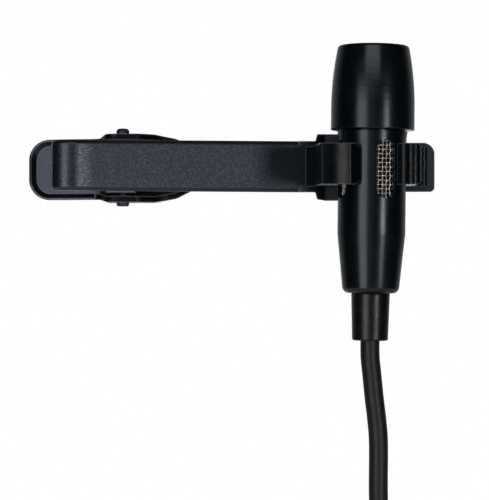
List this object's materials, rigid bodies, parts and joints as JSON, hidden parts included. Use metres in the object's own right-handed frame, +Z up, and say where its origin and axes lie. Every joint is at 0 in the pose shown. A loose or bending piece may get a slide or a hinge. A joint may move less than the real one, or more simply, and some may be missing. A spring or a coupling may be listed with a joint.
{
  "type": "lavalier microphone",
  "caption": "Clip-on microphone: slotted black housing with a domed cap, held in a moulded ring on a steel garment clip, with a coiled cable and locking plug.",
  "frame": {"origin": "bite point of the clip's jaws, midway up the clip, behind the microphone", "axes": "+X along the clip from the thumb grips to the microphone end, +Y from the microphone back into the garment, +Z up along the microphone"},
  "size_m": [0.0748, 0.0228, 0.1568],
  "materials": {
    "gloss_black_paint": "gloss",
    "mesh_wire": "bright woven",
    "felt": "matte",
    "can": "satin",
    "rubber_black": "matte",
    "board": "satin",
    "copper_lead": "bright",
    "clip_steel": "dark satin",
    "lever_steel": "dark satin",
    "pin_steel": "blackened",
    "spring_wire": "bright",
    "ring_plastic": "gloss",
    "cable_jacket": "satin",
    "tie_strap": "matte",
    "plug_metal": "satin",
    "nose_metal": "satin nickel",
    "insulator": "matte",
    "gold": "bright",
    "latch_plastic": "satin"
  },
  "bodies": {
    "clip": {"clip_bar": "clip_steel", "mic_holder": "ring_plastic", "pivot_pin": "pin_steel", "torsion_spring": "spring_wire"},
    "lever": {"clip_lever": "lever_steel"},
    "microphone": {"front_cap": "gloss_black_paint", "front_mesh": "mesh_wire", "felt_disc": "felt", "capsule": "can", "capsule_ring": "rubber_black", "side_mesh": "mesh_wire", "housing": "gloss_black_paint", "circuit_board": "board", "hookup_wires": "copper_lead", "cable_clamp": "can", "cable_end": "cable_jacket", "strain_relief": "rubber_black", "cable_run": "cable_jacket", "cable_coil": "cable_jacket", "cable_tie": "tie_strap", "cable_tail": "cable_jacket", "plug_boot": "rubber_black", "plug_collar": "plug_metal", "plug_shell": "plug_metal", "plug_nose": "nose_metal", "plug_insert": "insulator", "plug_contacts": "gold", "latch_spring": "spring_wire"},
    "latch": {"plug_latch": "latch_plastic"}
  },
  "joints": [
    {"name": "jaw_pivot", "type": "hinge", "parent": "clip", "child": "lever", "pos_m": [-0.0317, 0.0012, 0], "axis": [0, 0, 1], "range_deg": [0, 30], "stiffness_Nm_per_rad": 0.11, "springref_deg": -40.11, "deforming": ["torsion_spring"]},
    {"name": "mic_slide", "type": "slide", "parent": "clip", "child": "microphone", "axis": [0.0122, 0, 0.9999], "range_m": [-0.0006, 0.0186]},
    {"name": "latch_press", "type": "slide", "parent": "microphone", "child": "latch", "axis": [-1, 0, 0], "range_m": [0, 0.0008], "stiffness_N_per_m": 800, "springref_m": -0.0006, "deforming": ["latch_spring"]}
  ]
}
